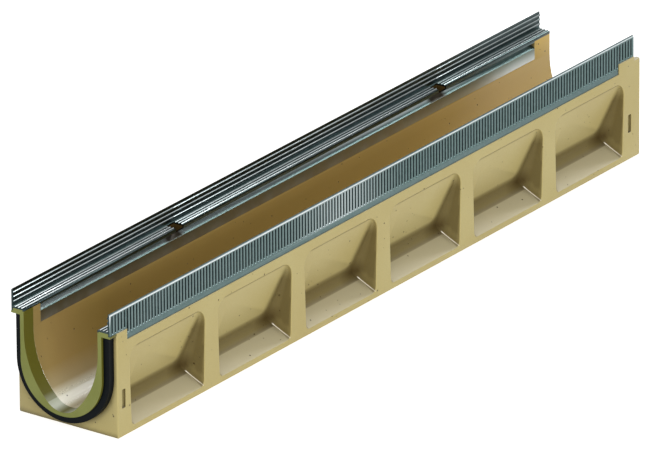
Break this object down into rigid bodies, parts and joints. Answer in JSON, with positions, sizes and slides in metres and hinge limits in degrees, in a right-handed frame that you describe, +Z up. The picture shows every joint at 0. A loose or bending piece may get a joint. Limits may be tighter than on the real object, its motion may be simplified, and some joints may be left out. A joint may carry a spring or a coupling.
{
  "type": "drainage channel",
  "caption": "Straight polymer concrete line drainage channel with galvanised steel edge rails, side pockets, and a spigot and socket joint; laid without its grating.",
  "frame": {"origin": "centre of the overall length and width, on the underside", "axes": "+X along the channel from its spigot end to its socket end, +Y to the left side seen that way, +Z up"},
  "size_m": [1.012, 0.135, 0.15],
  "materials": {
    "concrete": "fine cast polymer concrete, matt with a slight resin sheen",
    "galvanised_steel": "hot-dip galvanised sheet",
    "collar_plastic": "moulded olive green plastic",
    "seal_rubber": "smooth black EPDM"
  },
  "bodies": {
    "root": {"channel_body": "concrete", "edge_rail_left": "galvanised_steel", "edge_rail_right": "galvanised_steel", "joint_collar": "collar_plastic", "joint_seal": "seal_rubber"}
  },
  "joints": []
}
